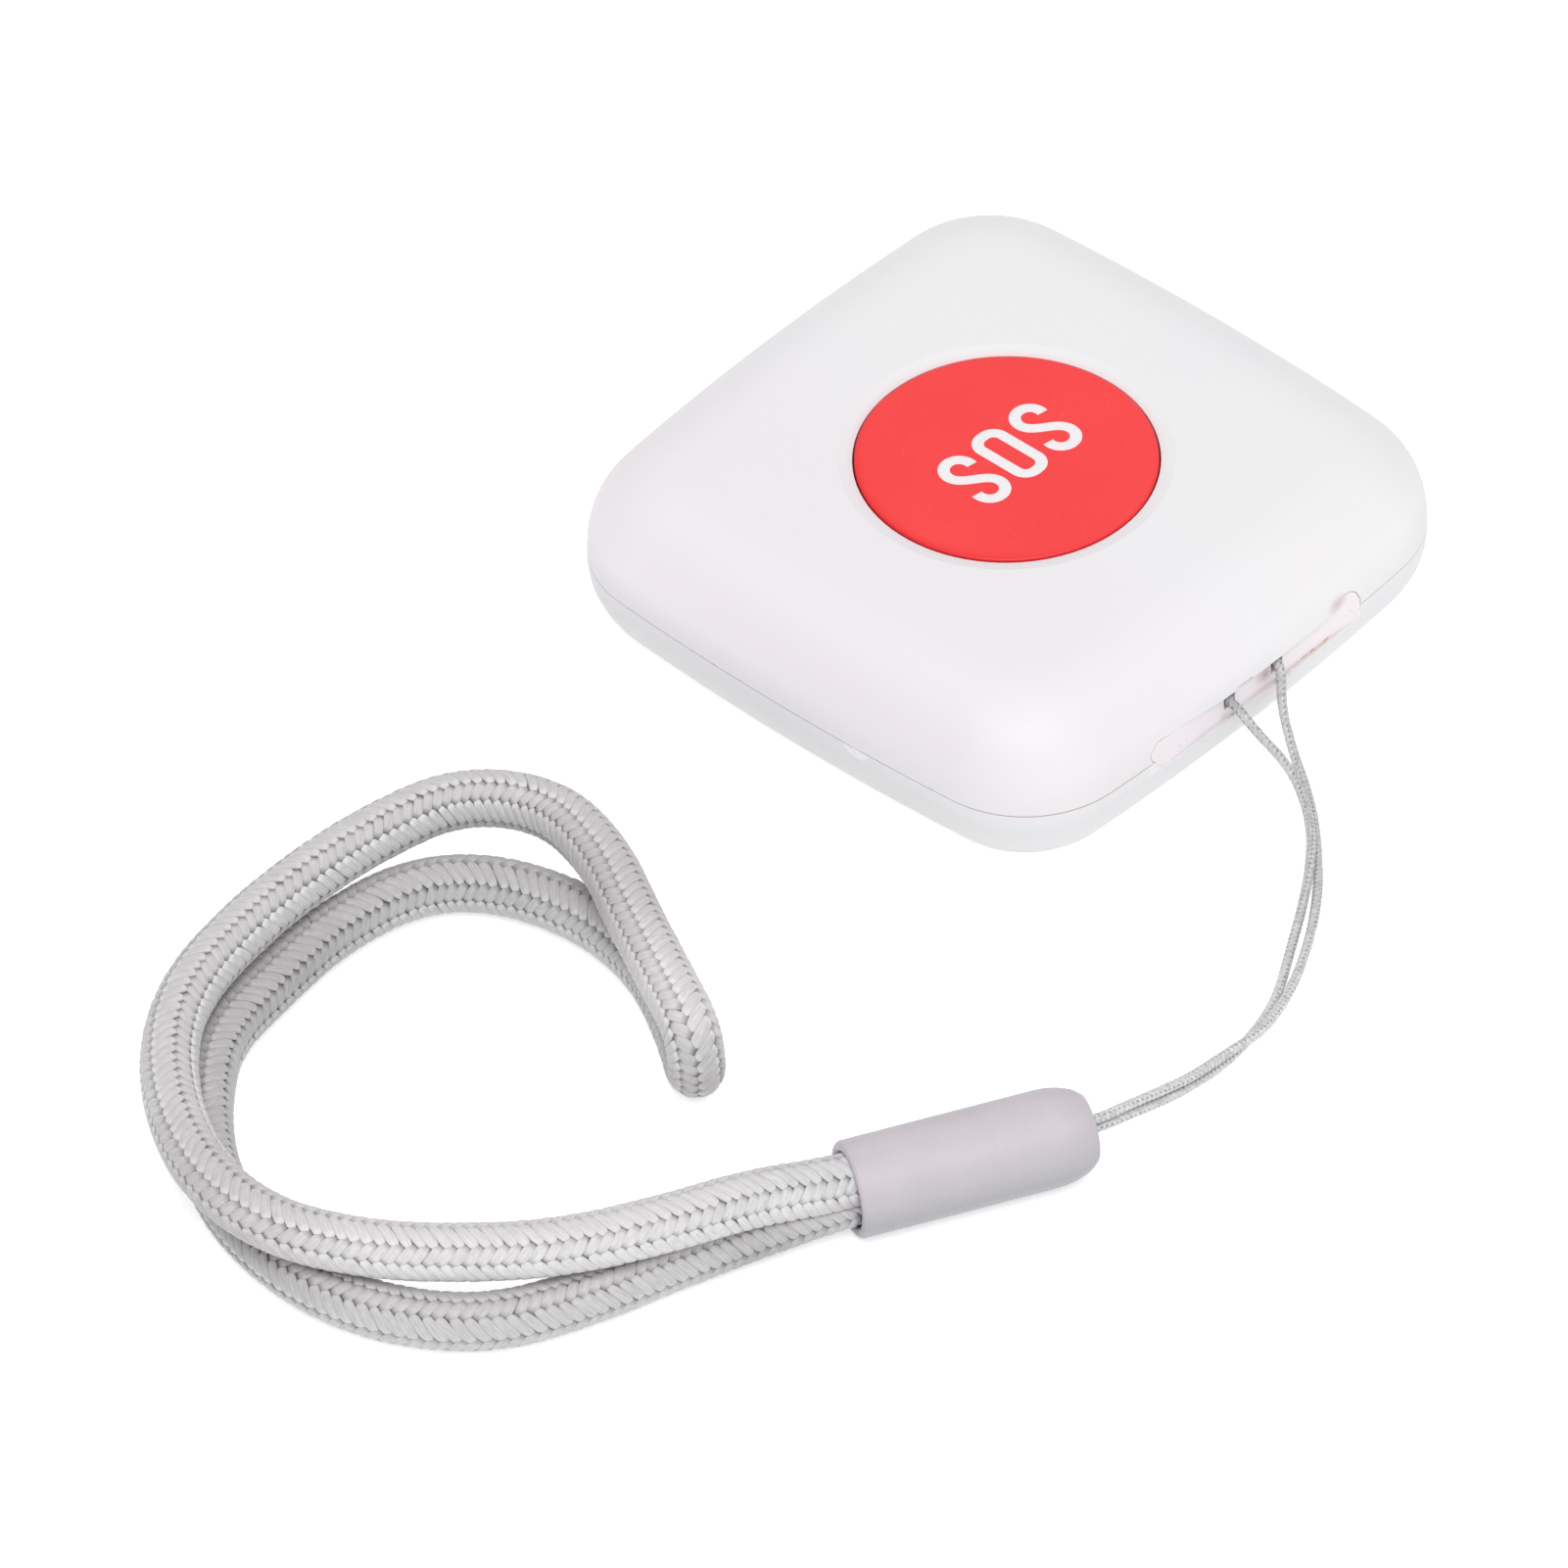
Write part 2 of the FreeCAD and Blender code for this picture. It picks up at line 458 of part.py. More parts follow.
# ---------------------------------------------------------------- write
nodes = {
    "upper_shell": upper_shell, "lower_shell": lower_shell, "button_cap": button_cap,
    "circuit_board": circuit_board, "board_screws": board_screws,
    "switch_base": switch_base, "switch_dome": switch_dome, "switch_plunger": switch_plunger,
    "switch_cover": switch_cover, "battery_cell": battery_cell, "battery_holder": battery_holder,
    "battery_contact_positive": battery_contact_positive,
    "battery_contact_negative": battery_contact_negative, "radio_chip": radio_chip,
    "radio_shield": radio_shield, "crystal": crystal, "antenna": antenna, "status_led": status_led,
    "capacitors": capacitors, "resistors": resistors, "inductor": inductor,
    "pairing_switch": pairing_switch, "pairing_plunger": pairing_plunger,
    "cord_sleeve": cord_sleeve, "sleeve_crimp": sleeve_crimp,
    "loop_cord": loop_cord, "wrist_strap": wrist_strap,
}
for name, shape in nodes.items():
    save(shape, name)
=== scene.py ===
import math

import bpy
import bmesh
import numpy as np
from mathutils import Matrix, Vector


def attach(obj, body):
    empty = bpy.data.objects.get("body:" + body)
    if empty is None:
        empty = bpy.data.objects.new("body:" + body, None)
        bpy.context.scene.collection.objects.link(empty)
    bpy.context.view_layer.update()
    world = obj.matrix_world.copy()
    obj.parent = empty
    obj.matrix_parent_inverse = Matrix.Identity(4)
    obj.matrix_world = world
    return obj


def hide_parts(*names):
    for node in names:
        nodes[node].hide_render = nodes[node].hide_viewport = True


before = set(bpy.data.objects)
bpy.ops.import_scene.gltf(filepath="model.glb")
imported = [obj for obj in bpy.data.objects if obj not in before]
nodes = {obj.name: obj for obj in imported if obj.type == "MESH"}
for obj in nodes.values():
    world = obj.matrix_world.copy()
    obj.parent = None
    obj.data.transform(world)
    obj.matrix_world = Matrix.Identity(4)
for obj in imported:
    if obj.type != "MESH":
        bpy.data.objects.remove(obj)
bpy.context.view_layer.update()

MM = 0.001
scene = bpy.context.scene


# ------------------------------------------------------------------ camera
AZ, EL, ROLL = math.radians(-47.568), math.radians(42.562), math.radians(-0.882)
DIST = 2639.86
back = Vector((math.sin(AZ) * math.cos(EL), -math.cos(AZ) * math.cos(EL), math.sin(EL)))
right = Vector((math.cos(AZ), math.sin(AZ), 0.0))
up = back.cross(right) * 1.0
if up.z < 0:
    up = -up
loc = (right * -19.2072 + up * -16.1175 + back * DIST) * MM
cr, sr = math.cos(ROLL), math.sin(ROLL)
r2 = right * cr + up * sr
u2 = up * cr - right * sr
cam = bpy.data.cameras.new("camera")
cam_ob = bpy.data.objects.new("camera", cam)
scene.collection.objects.link(cam_ob)
m = Matrix((r2, u2, back)).transposed().to_4x4()
m.translation = loc
cam_ob.matrix_world = m
cam.sensor_width = 36.0
cam.lens = 36.0 * 12.0525 * DIST / 1601.0
cam.clip_start = 0.5
cam.clip_end = 20.0
scene.camera = cam_ob


# ------------------------------------------------------------------ small helpers
def new_mesh(name, verts, faces, smooth=True, uvs=None, prof=None):
    """Object from vertices in metres; uvs and prof are lists of one (u, v) for each face corner."""
    me = bpy.data.meshes.new(name)
    me.from_pydata([tuple(v) for v in verts], [], [tuple(int(i) for i in f) for f in faces])
    if uvs is not None:
        lay = me.uv_layers.new(name="lay")
        lay.data.foreach_set("uv", np.asarray(uvs, np.float32).ravel())
    if prof is not None:
        lay = me.uv_layers.new(name="prof")
        lay.data.foreach_set("uv", np.asarray(prof, np.float32).ravel())
    me.polygons.foreach_set("use_smooth", [smooth] * len(me.polygons))
    me.update()
    ob = bpy.data.objects.new(name, me)
    scene.collection.objects.link(ob)
    return ob


def material(name, rough=0.5, metallic=0.0, spec=0.5, sheen=0.0, coat=0.0, coat_rough=0.1, subsurface=0.0,
             transmission=0.0, ior=1.5):
    mt = bpy.data.materials.new(name)
    mt.use_nodes = True
    nt = mt.node_tree
    b = nt.nodes["Principled BSDF"]
    b.inputs["Roughness"].default_value = rough
    b.inputs["Metallic"].default_value = metallic
    b.inputs["Specular IOR Level"].default_value = spec
    b.inputs["Sheen Weight"].default_value = sheen
    b.inputs["Coat Weight"].default_value = coat
    b.inputs["Coat Roughness"].default_value = coat_rough
    b.inputs["Transmission Weight"].default_value = transmission
    b.inputs["IOR"].default_value = ior
    return mt, nt, b


def noise(nt, vec, scale, detail=3.0, rough=0.55, lac=2.0):
    n = nt.nodes.new("ShaderNodeTexNoise")
    n.inputs["Scale"].default_value = scale
    n.inputs["Detail"].default_value = detail
    n.inputs["Roughness"].default_value = rough
    n.inputs["Lacunarity"].default_value = lac
    nt.links.new(vec, n.inputs["Vector"])
    return n


def ramp(nt, fac, stops):
    r = nt.nodes.new("ShaderNodeValToRGB")
    while len(r.color_ramp.elements) < len(stops):
        r.color_ramp.elements.new(0.5)
    for e, (p, c) in zip(r.color_ramp.elements, stops):
        e.position = p
        e.color = (c[0], c[1], c[2], 1.0)
    nt.links.new(fac, r.inputs["Fac"])
    return r


def rng(nt, val, a, b, c, d):
    n = nt.nodes.new("ShaderNodeMapRange")
    n.inputs["From Min"].default_value = a
    n.inputs["From Max"].default_value = b
    n.inputs["To Min"].default_value = c
    n.inputs["To Max"].default_value = d
    nt.links.new(val, n.inputs["Value"])
    return n.outputs["Result"]


def math_node(nt, op, a, b=None):
    n = nt.nodes.new("ShaderNodeMath")
    n.operation = op
    for i, v in enumerate((a, b)):
        if v is None:
            continue
        if isinstance(v, (int, float)):
            n.inputs[i].default_value = v
        else:
            nt.links.new(v, n.inputs[i])
    return n.outputs[0]


def mix(nt, fac, a, b, kind="MIX"):
    n = nt.nodes.new("ShaderNodeMix")
    n.data_type = "RGBA"
    n.blend_type = kind
    for sock, v in ((n.inputs["Factor"], fac), (n.inputs["A"], a), (n.inputs["B"], b)):
        if isinstance(v, (int, float)):
            sock.default_value = v
        elif isinstance(v, (tuple, list)):
            sock.default_value = (v[0], v[1], v[2], 1.0)
        else:
            nt.links.new(v, sock)
    return n.outputs["Result"]


def mapping(nt, vec, scale=(1, 1, 1), loc=(0, 0, 0), rot=(0, 0, 0)):
    n = nt.nodes.new("ShaderNodeMapping")
    n.inputs["Scale"].default_value = scale
    n.inputs["Location"].default_value = loc
    n.inputs["Rotation"].default_value = rot
    nt.links.new(vec, n.inputs["Vector"])
    return n.outputs["Vector"]


def axis_of(nt, p, k):
    n = nt.nodes.new("ShaderNodeSeparateXYZ")
    nt.links.new(p, n.inputs[0])
    return n.outputs[k]


def uv_of(nt, name):
    n = nt.nodes.new("ShaderNodeUVMap")
    n.uv_map = name
    return n.outputs["UV"]


def bump(nt, bsdf, height, strength, distance, chain=None):
    n = nt.nodes.new("ShaderNodeBump")
    n.inputs["Strength"].default_value = strength
    n.inputs["Distance"].default_value = distance
    nt.links.new(height, n.inputs["Height"])
    if chain is not None:
        nt.links.new(chain, n.inputs["Normal"])
    nt.links.new(n.outputs["Normal"], bsdf.inputs["Normal"])
    return n.outputs["Normal"]


def coords(nt):
    """Object coordinates, in metres, times 1000, so that noise scales are per millimetre."""
    t = nt.nodes.new("ShaderNodeTexCoord")
    return mapping(nt, t.outputs["Object"], scale=(1000, 1000, 1000))


def blob(nt, p, centre, radii, soft=0.5):
    """Mask: 1 inside an ellipsoid at centre (mm), falling to 0 at its surface."""
    q = mapping(nt, p, scale=[1.0 / r for r in radii], loc=[-c / r for c, r in zip(centre, radii)])
    n = nt.nodes.new("ShaderNodeVectorMath")
    n.operation = "LENGTH"
    nt.links.new(q, n.inputs[0])
    return rng(nt, n.outputs["Value"], 1.0 - soft, 1.0, 1.0, 0.0)


# ------------------------------------------------------------------ materials
def slab(nt, p, axis, a, b, c, d):
    """Mask along one axis (mm): 0 at a, 1 from b to c, 0 at d."""
    v = axis_of(nt, p, axis)
    return math_node(nt, "MULTIPLY", rng(nt, v, a, b, 0.0, 1.0), rng(nt, v, c, d, 1.0, 0.0))


def case_marks(nt, p, col):
    """The faint pink of the strap recess, the brownish flash and grime along its lower edge, painted shade on the
    sides, the foot and in the nail notch, and the painted red reflection round the button.
    """
    side = rng(nt, axis_of(nt, p, 0), 6.0, -28.0, 0.0, 0.9)
    col = mix(nt, side, col, (0.706, 0.664, 0.696))
    # painted shade: the case turns greyer towards the bottom of its sides
    col = mix(nt, rng(nt, axis_of(nt, p, 2), 10.5, 4.5, 0.0, 0.92), col, (0.606, 0.610, 0.622))
    # painted shade: the low -X side darker still, more so towards +Y
    left_painted_shade = math_node(nt, "MULTIPLY", rng(nt, axis_of(nt, p, 0), -20.0, -28.0, 0.0, 1.0), rng(nt, axis_of(nt, p, 2), 9.5, 5.0, 0.0, 1.0))
    left_painted_shade = math_node(nt, "MULTIPLY", left_painted_shade, rng(nt, axis_of(nt, p, 1), -21.0, 1.0, 0.05, 0.75))
    col = mix(nt, left_painted_shade, col, (0.524, 0.507, 0.537))
    # painted shade: the lower shell is kept grey down to its edge, against the light from the floor
    foot_painted_shade = math_node(nt, "MULTIPLY", rng(nt, axis_of(nt, p, 2), 6.6, 1.5, 0.0, 0.78), rng(nt, axis_of(nt, p, 1), -26.0, -15.0, 0.35, 1.0))
    col = mix(nt, foot_painted_shade, col, (0.494, 0.504, 0.496))
    # painted reflection: red light of the button on the rim round it, most on the +X+Y side
    radial = nt.nodes.new("ShaderNodeVectorMath")
    radial.operation = "LENGTH"
    nt.links.new(mapping(nt, p, scale=(1.0, 1.0, 0.0)), radial.inputs[0])
    ring = math_node(nt, "MULTIPLY", rng(nt, radial.outputs["Value"], 13.7, 13.05, 0.0, 1.0), slab(nt, p, 2, 13.4, 13.8, 16.0, 16.5))
    turn = math_node(nt, "ADD", axis_of(nt, p, 0), axis_of(nt, p, 1))
    col = mix(nt, math_node(nt, "MULTIPLY", ring, rng(nt, turn, -6.0, 8.0, 0.13, 0.34)), col, (0.80, 0.42, 0.43))
    # the parting line is a little rusty on the recess side
    seam = math_node(nt, "MULTIPLY", slab(nt, p, 2, 6.49, 6.55, 6.65, 6.71), math_node(nt, "MULTIPLY", rng(nt, axis_of(nt, p, 1), -18.0, -24.0, 0.0, 0.35), rng(nt, axis_of(nt, p, 0), 2.0, -14.0, 0.0, 1.0)))
    col = mix(nt, seam, col, (0.58, 0.36, 0.35))
    # half-round moulding mark just below the parting line on the -X side
    mark = math_node(nt, "MULTIPLY", blob(nt, p, (-28.7, -8.4, 6.50), (1.8, 1.45, 1.05), 0.25), rng(nt, axis_of(nt, p, 2), 6.50, 6.56, 1.0, 0.0))
    col = mix(nt, math_node(nt, "MULTIPLY", mark, 0.80), col, (0.700, 0.672, 0.694))
    # strap recess
    box = math_node(nt, "MULTIPLY", slab(nt, p, 0, -14.3, -13.6, 12.6, 13.1), slab(nt, p, 2, 5.25, 5.40, 8.7, 9.1))
    box = math_node(nt, "MULTIPLY", box, rng(nt, axis_of(nt, p, 1), -28.52, -28.44, 0.0, 1.0))
    col = mix(nt, math_node(nt, "MULTIPLY", box, 0.9), col, (0.718, 0.668, 0.696))
    fine = noise(nt, mapping(nt, p, scale=(1.0, 1.0, 1.6), loc=(4.0, 2.0, 1.0)), 2.1, 3.0, 0.7)
    coarse = noise(nt, mapping(nt, p, loc=(9.0, 5.0, 2.0)), 0.9, 2.0, 0.6)
    # orange-brown halo, then the broken line in it
    halo = blob(nt, p, (7.0, -28.4, 5.58), (4.3, 0.9, 0.5), 0.9)
    col = mix(nt, math_node(nt, "MULTIPLY", halo, rng(nt, coarse.outputs["Fac"], 0.35, 0.65, 0.1, 0.6)), col, (0.70, 0.50, 0.42))
    line = blob(nt, p, (7.4, -28.4, 5.58), (3.3, 0.9, 0.20), 0.7)
    col = mix(nt, math_node(nt, "MULTIPLY", line, rng(nt, fine.outputs["Fac"], 0.42, 0.56, 0.0, 0.9)), col, (0.36, 0.24, 0.20))
    warm = blob(nt, p, (1.6, -28.5, 5.1), (4.0, 1.2, 1.3), 0.95)
    col = mix(nt, math_node(nt, "MULTIPLY", warm, 0.5), col, (0.600, 0.505, 0.490))
    # grime beside the two holes, and painted shade under the upper shell's edge over the bar between them
    g1 = blob(nt, p, (0.6, -28.4, 7.0), (1.3, 0.8, 1.1), 0.9)
    col = mix(nt, math_node(nt, "MULTIPLY", g1, rng(nt, coarse.outputs["Fac"], 0.30, 0.60, 0.4, 0.85)), col, (0.38, 0.28, 0.26))
    g2 = blob(nt, p, (-4.5, -28.5, 5.8), (0.8, 0.8, 0.8), 0.9)
    col = mix(nt, math_node(nt, "MULTIPLY", g2, rng(nt, fine.outputs["Fac"], 0.35, 0.60, 0.15, 0.75)), col, (0.54, 0.42, 0.36))
    # painted shade, brownish, under the upper shell's edge over the bar
    bar_top_painted_shade = blob(nt, p, (-1.0, -28.3, 7.85), (2.9, 0.8, 0.45), 0.9)
    col = mix(nt, math_node(nt, "MULTIPLY", bar_top_painted_shade, rng(nt, coarse.outputs["Fac"], 0.30, 0.60, 0.2, 0.7)), col, (0.52, 0.42, 0.40))
    # painted shade, brownish, in the finger-nail notch, and single specks
    notch_painted_shade = blob(nt, p, (9.9, -28.4, 8.6), (1.5, 0.8, 1.0), 0.9)
    col = mix(nt, math_node(nt, "MULTIPLY", notch_painted_shade, 0.75), col, (0.50, 0.34, 0.35))
    for c, r, a in (((-12.6, -28.6, 5.55), (0.50, 0.6, 0.14), 0.45), ((-10.2, -28.4, 6.3), (0.20, 0.5, 0.16), 0.45),
                    ((-9.3, -28.4, 6.4), (0.16, 0.5, 0.13), 0.4), ((3.5, -28.6, 5.15), (0.17, 0.6, 0.20), 0.7),
                    ((11.6, -28.4, 6.7), (0.18, 0.5, 0.18), 0.4), ((11.9, -28.4, 6.35), (0.14, 0.5, 0.16), 0.4),
                    ((-28.7, 7.6, 6.62), (0.8, 0.20, 0.16), 0.5), ((-28.7, 4.7, 6.62), (0.8, 0.24, 0.16), 0.4),
                    ((-28.6, -16.4, 6.66), (0.9, 0.34, 0.18), 0.6)):
        col = mix(nt, math_node(nt, "MULTIPLY", blob(nt, p, c, r, 0.8), a), col, (0.42, 0.30, 0.28))
    return col


def case_material():
    mt, nt, b = material("case_plastic", rough=0.50, spec=0.38)
    p = coords(nt)
    big = noise(nt, mapping(nt, p, scale=(0.035, 0.035, 0.05), loc=(3.1, 1.7, 0.4)), 1.0, 2.0, 0.5)
    tint = ramp(nt, big.outputs["Fac"], [(0.30, (0.704, 0.702, 0.718)), (0.55, (0.712, 0.706, 0.718)), (0.75, (0.714, 0.700, 0.712))])
    fine = noise(nt, p, 2.6, 3.0, 0.6)
    speck = mix(nt, rng(nt, fine.outputs["Fac"], 0.35, 0.65, 0.0, 0.05), tint.outputs["Color"], (0.66, 0.65, 0.66))
    nt.links.new(case_marks(nt, p, speck), b.inputs["Base Color"])
    nt.links.new(rng(nt, fine.outputs["Fac"], 0.3, 0.7, 0.46, 0.56), b.inputs["Roughness"])
    grain = noise(nt, p, 5.5, 2.0, 0.6)
    soft = noise(nt, p, 0.35, 2.0, 0.5)
    n1 = bump(nt, b, grain.outputs["Fac"], 0.12, 0.00005)
    bump(nt, b, soft.outputs["Fac"], 0.10, 0.0002, n1)
    return mt


def red_material():
    mt, nt, b = material("button_plastic", rough=0.40, spec=0.40)
    p = coords(nt)
    big = noise(nt, mapping(nt, p, scale=(0.08, 0.08, 0.08)), 1.0, 2.0, 0.5)
    base = ramp(nt, big.outputs["Fac"], [(0.3, (0.775, 0.0290, 0.0315)), (0.7, (0.805, 0.0355, 0.0365))])
    specks = noise(nt, p, 3.4, 1.0, 0.5)
    pale = rng(nt, specks.outputs["Fac"], 0.70, 0.78, 0.0, 0.22)
    col = mix(nt, pale, base.outputs["Color"], (0.86, 0.22, 0.19))
    dark = rng(nt, specks.outputs["Fac"], 0.24, 0.30, 0.12, 0.0)
    col = mix(nt, dark, col, (0.56, 0.014, 0.02))
    # painted shade on the rounded edge's -X side: a band inside it a little darker, the rim darker still
    radial = nt.nodes.new("ShaderNodeVectorMath")
    radial.operation = "LENGTH"
    nt.links.new(mapping(nt, p, scale=(1.0, 1.0, 0.0)), radial.inputs[0])
    deep_painted_shade = math_node(nt, "MULTIPLY", rng(nt, radial.outputs["Value"], 11.8, 12.6, 0.0, 1.0), rng(nt, axis_of(nt, p, 0), -2.0, -11.0, 0.0, 0.60))
    col = mix(nt, deep_painted_shade, col, (0.775, 0.012, 0.015))
    edge = math_node(nt, "MULTIPLY", rng(nt, radial.outputs["Value"], 12.4, 12.9, 0.0, 1.0), rng(nt, axis_of(nt, p, 0), -2.0, -11.0, 0.0, 0.45))
    col = mix(nt, edge, col, (0.52, 0.010, 0.020))
    nt.links.new(col, b.inputs["Base Color"])
    fine = noise(nt, p, 6.0, 2.0, 0.6)
    nt.links.new(rng(nt, fine.outputs["Fac"], 0.3, 0.7, 0.36, 0.46), b.inputs["Roughness"])
    bump(nt, b, fine.outputs["Fac"], 0.15, 0.00004)
    return mt


def legend_material():
    mt, nt, b = material("legend_ink", rough=0.5, spec=0.35)
    p = coords(nt)
    n = noise(nt, p, 4.0, 2.0, 0.6)
    nt.links.new(ramp(nt, n.outputs["Fac"], [(0.3, (0.72, 0.68, 0.70)), (0.7, (0.77, 0.745, 0.765))]).outputs["Color"], b.inputs["Base Color"])
    bump(nt, b, n.outputs["Fac"], 0.1, 0.00002)
    return mt


def sleeve_material():
    mt, nt, b = material("sleeve_plastic", rough=0.42, spec=0.42)
    p = coords(nt)
    big = noise(nt, p, 0.22, 2.0, 0.5)
    base = ramp(nt, big.outputs["Fac"], [(0.3, (0.478, 0.444, 0.476)), (0.7, (0.510, 0.474, 0.508))])
    fine = noise(nt, p, 3.2, 3.0, 0.65)
    col = mix(nt, rng(nt, fine.outputs["Fac"], 0.35, 0.65, 0.0, 0.25), base.outputs["Color"], (0.45, 0.416, 0.444))
    # painted shade: the sleeve turns darker towards the floor
    col = mix(nt, rng(nt, axis_of(nt, p, 2), 7.3, 3.2, 0.0, 1.0), col, (0.318, 0.315, 0.335))
    nt.links.new(col, b.inputs["Base Color"])
    nt.links.new(rng(nt, fine.outputs["Fac"], 0.3, 0.7, 0.45, 0.58), b.inputs["Roughness"])
    bump(nt, b, fine.outputs["Fac"], 0.35, 0.00006)
    return mt


def yarn_material(name, light, dark, deep_painted_shade, crest, streak=(2.0, 22.0), rough=0.60, sheen=0.04, bump_mm=0.04, shade_spots=(), shade=(), blush=(), calm=()):
    """Braided yarn: streaks of fibre along each stitch, a tone for each stitch, a painted highlight on the ends of the
    stitches that lie over, painted shade on the ends of those that dive under and in the grooves beside the stitch
    ends. "lay" runs along and across a stitch with its own start;
    "prof" is 0 at the middle of a stitch, 1 at an over end, -1 at an under end, and 0..1 over its section.
    The spot list gives (centre, radii, amount) in mm where the yarn is painted darker as shade, shade (axis, a, b, c,
    d, amount) where the whole yarn is painted greyer as shade, blush (a, b, c, d, amount) the heights at which it is a
    little pink, calm (x from, to, y from, to) the ends between which the weave turns more even in tone."""
    mt, nt, b = material(name, rough=rough, spec=0.32, sheen=sheen)
    b.inputs["Sheen Roughness"].default_value = 0.4
    lay = uv_of(nt, "lay")
    fib = noise(nt, mapping(nt, lay, scale=(streak[0], streak[1], 1.0)), 1.0, 3.0, 0.65)
    tone = noise(nt, mapping(nt, lay, scale=(0.55, 0.55, 1.0)), 1.0, 1.0, 0.5)
    col = ramp(nt, fib.outputs["Fac"], [(0.36, dark), (0.58, light)]).outputs["Color"]
    col = mix(nt, rng(nt, tone.outputs["Fac"], 0.30, 0.70, 0.0, 0.38), col, dark, "MIX")
    prof = uv_of(nt, "prof")
    u, v = axis_of(nt, prof, 0), axis_of(nt, prof, 1)
    p = coords(nt)
    # painted highlight on the over ends of the stitches
    painted_highlight_mask = rng(nt, u, 0.50, 0.88, 0.0, 0.65)
    if calm:
        even = math_node(nt, "MULTIPLY", rng(nt, axis_of(nt, p, 0), calm[0], calm[1], 0.0, 1.0), rng(nt, axis_of(nt, p, 1), calm[2], calm[3], 0.0, 1.0))
        painted_highlight_mask = math_node(nt, "MULTIPLY", painted_highlight_mask, rng(nt, even, 0.0, 1.0, 1.0, 0.35))
    col = mix(nt, painted_highlight_mask, col, crest, "MIX")
    # painted shade in the grooves beside the stitch ends and on the under ends
    across = math_node(nt, "ABSOLUTE", math_node(nt, "SUBTRACT", v, 0.5))
    ends = rng(nt, math_node(nt, "ABSOLUTE", u), 0.35, 0.90, 0.12, 0.90)
    root_painted_shade = math_node(nt, "MULTIPLY", rng(nt, across, 0.17, 0.30, 0.0, 1.0), ends)
    root_painted_shade = math_node(nt, "MAXIMUM", root_painted_shade, rng(nt, u, -0.42, -0.80, 0.0, 0.95))
    if calm:
        root_painted_shade = math_node(nt, "MULTIPLY", root_painted_shade, rng(nt, even, 0.0, 1.0, 1.0, 0.62))
    col = mix(nt, root_painted_shade, col, deep_painted_shade, "MIX")
    for lo, b0, b1, hi, a in blush:
        col = mix(nt, math_node(nt, "MULTIPLY", slab(nt, p, 2, lo, b0, b1, hi), a), col, (0.735, 0.665, 0.700))
    # painted shade: the whole yarn greyer within these slabs
    for k, lo, b0, b1, hi, a in shade:
        col = mix(nt, math_node(nt, "MULTIPLY", slab(nt, p, k, lo, b0, b1, hi), a), col, (0.50, 0.50, 0.50), "MULTIPLY")
    # painted shade at these spots
    for c, r, a in shade_spots:
        col = mix(nt, math_node(nt, "MULTIPLY", blob(nt, p, c, r, 0.9), a), col, (0.50, 0.48, 0.48), "MULTIPLY")
    nt.links.new(col, b.inputs["Base Color"])
    bump(nt, b, fib.outputs["Fac"], 0.55, bump_mm * 0.001)
    return mt


def plain_material(name, a, c, rough=0.5, metallic=0.0, scale=1.5, strength=0.15, spec=0.5, coat=0.0, stretch=(1, 1, 1), transmission=0.0):
    mt, nt, b = material(name, rough=rough, metallic=metallic, spec=spec, coat=coat, transmission=transmission)
    p = coords(nt)
    n = noise(nt, mapping(nt, p, scale=stretch), scale, 3.0, 0.6)
    nt.links.new(ramp(nt, n.outputs["Fac"], [(0.3, a), (0.7, c)]).outputs["Color"], b.inputs["Base Color"])
    nt.links.new(rng(nt, n.outputs["Fac"], 0.3, 0.7, max(0.02, rough - 0.06), rough + 0.06), b.inputs["Roughness"])
    bump(nt, b, n.outputs["Fac"], strength, 0.00003)
    return mt


MAT_CASE = case_material()
MAT_RED = red_material()
MAT_INK = legend_material()
MAT_SLEEVE = sleeve_material()
# rope yarn: the fourth colour is painted shade in the stitch grooves and on under ends, the fifth a painted highlight
# on over ends; the spots and slabs are painted shade
MAT_ROPE = yarn_material("rope_yarn", (0.618, 0.608, 0.618), (0.462, 0.455, 0.464), (0.225, 0.220, 0.224), (0.800, 0.790, 0.800),
                         shade_spots=(((-105.5, -7.0, 6.5), (8.5, 16.0, 6.0), 0.62), ((-57.0, -7.0, 8.0), (9.5, 15.0, 5.0), 0.58),
                               ((-79.0, 12.0, 2.0), (15.0, 8.0, 4.0), 0.50), ((-74.0, -38.8, 1.5), (9.0, 6.0, 3.5), 0.70),
                               ((-65.0, -22.8, 4.0), (6.0, 6.0, 6.0), 0.42), ((-67.5, -42.2, 4.8), (1.7, 2.6, 3.2), 0.60)),
                         shade=((2, -1.0, 0.0, 4.9, 5.9, 0.34), (1, -9.0, 3.0, 40.0, 41.0, 0.20)), blush=((8.2, 9.4, 11.0, 12.0, 0.18), (3.9, 4.6, 5.0, 5.6, 0.20)),
                         calm=(-66.5, -69.5, -15.0, -24.0))
# painted shade: the near-black core shows only through the gaps between stitches, standing in for the shade there
MAT_CORE_SHADE = plain_material("rope_core_shade", (0.170, 0.166, 0.169), (0.220, 0.215, 0.218), rough=0.7, scale=3.0)
# thin cord: painted shade at one spot by the left hole and where y rises above -45.5, painted highlight on over ends
MAT_CORD = yarn_material("thin_cord_yarn", (0.640, 0.632, 0.642), (0.410, 0.404, 0.412), (0.135, 0.131, 0.135), (0.860, 0.852, 0.860), streak=(1.2, 5.0), bump_mm=0.02,
                         shade_spots=(((-4.1, -28.6, 7.0), (1.4, 1.8, 1.6), 0.6),), shade=((1, -49.5, -45.5, 0.0, 1.0, 0.24),))
# painted shade: the thin cord's near-black core, seen only through the gaps
MAT_CORD_CORE_SHADE = plain_material("thin_cord_core_shade", (0.130, 0.126, 0.130), (0.170, 0.165, 0.169), rough=0.7, scale=6.0)


